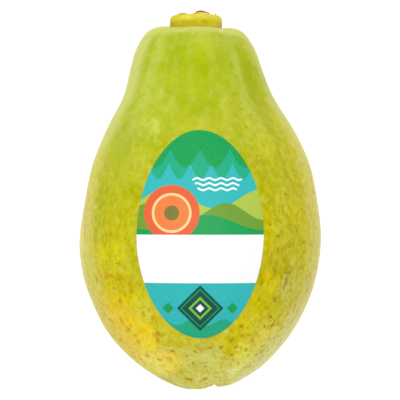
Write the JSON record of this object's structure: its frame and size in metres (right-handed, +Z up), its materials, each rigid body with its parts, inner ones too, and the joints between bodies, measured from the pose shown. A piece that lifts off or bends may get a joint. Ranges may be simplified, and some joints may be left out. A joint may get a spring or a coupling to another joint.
{
  "type": "papaya",
  "caption": "Whole pear-shaped papaya lying on its side, with the stub of its stalk, a dried crust on the stub and an oval sticker on top.",
  "frame": {"origin": "on the surface that the fruit lies on, under the middle of its outline", "axes": "+Y from the blossom end to the stalk, +Z up through the sticker, +X to the right seen from above with the stalk away from the viewer"},
  "size_m": [0.0892, 0.14, 0.0898],
  "materials": {
    "skin": "satin",
    "stalk": "satin",
    "crust": "matte",
    "sticker": "satin"
  },
  "bodies": {
    "root": {"fruit": "skin", "stalk_stub": "stalk", "dried_crust": "crust", "label": "sticker"}
  },
  "joints": []
}
